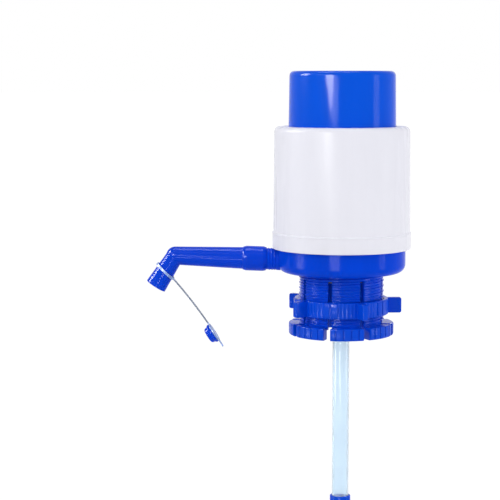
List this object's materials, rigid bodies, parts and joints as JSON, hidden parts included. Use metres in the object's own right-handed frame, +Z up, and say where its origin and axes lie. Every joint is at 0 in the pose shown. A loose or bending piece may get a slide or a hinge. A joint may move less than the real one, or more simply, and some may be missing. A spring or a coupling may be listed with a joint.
{
  "type": "water bottle hand pump",
  "caption": "Hand pump that clamps on the neck of a large water bottle: a sprung button works a bellows, and the pressure sends water up a dip tube to a swivelling spout with a tethered cap.",
  "frame": {"origin": "on the pump's axis, in the plane of the gasket's underside, where the rim of the bottle's neck seats", "axes": "+Z up along the pump's axis, the spout points towards -X, the neck goes in from -Z"},
  "size_m": [0.196, 0.1028, 0.6353],
  "materials": {
    "button_blue": "glossy",
    "bowl_blue": "glossy",
    "spout_blue": "glossy",
    "collar_blue": "glossy",
    "inner_blue": "matt",
    "housing_white": "satin",
    "clear_plastic": "translucent",
    "grey_rubber": "matt",
    "pale_silicone": "matt",
    "screw_steel": "plain",
    "spring_steel": "drawn wire"
  },
  "bodies": {
    "pump": {"white_housing": "housing_white", "base_bowl": "bowl_blue", "pump_plate": "inner_blue", "bellows": "grey_rubber", "bellows_clamp_ring": "inner_blue", "clamp_ring_screws": "screw_steel", "return_spring": "spring_steel", "delivery_valve": "pale_silicone", "split_collar": "collar_blue", "collar_screws": "screw_steel", "mouth_gasket": "grey_rubber", "upper_dip_tube": "clear_plastic", "upper_tube_coupler": "collar_blue", "middle_dip_tube": "clear_plastic", "lower_tube_coupler": "collar_blue", "lower_dip_tube": "clear_plastic"},
    "button": {"push_button": "button_blue", "bellows_top_plate": "inner_blue", "top_plate_screws": "screw_steel", "intake_valve": "pale_silicone"},
    "lock_ring": {"lock_ring": "collar_blue"},
    "spout": {"spout": "spout_blue", "spout_seal": "grey_rubber"},
    "strap": {"cap_strap": "clear_plastic", "spout_cap": "spout_blue"}
  },
  "joints": [
    {"name": "button_press", "type": "slide", "parent": "pump", "child": "button", "axis": [0, 0, -1], "range_m": [0, 0.035], "stiffness_N_per_m": 600, "springref_m": -0.02, "deforming": ["bellows", "return_spring"]},
    {"name": "lock_ring_turn", "type": "hinge", "parent": "pump", "child": "lock_ring", "pos_m": [0, 0, -0.0194], "axis": [0, 0, 1], "range_deg": [-600, 1680]},
    {"name": "spout_swivel", "type": "hinge", "parent": "pump", "child": "spout", "pos_m": [-0.0474, 0, 0.0149], "axis": [-0.9994, 0, 0.0349], "range_deg": [-90, 90]},
    {"name": "strap_turn", "type": "hinge", "parent": "spout", "child": "strap", "pos_m": [-0.13076, 0, 0.00602], "axis": [-0.5402, 0, -0.8415], "continuous": true}
  ]
}
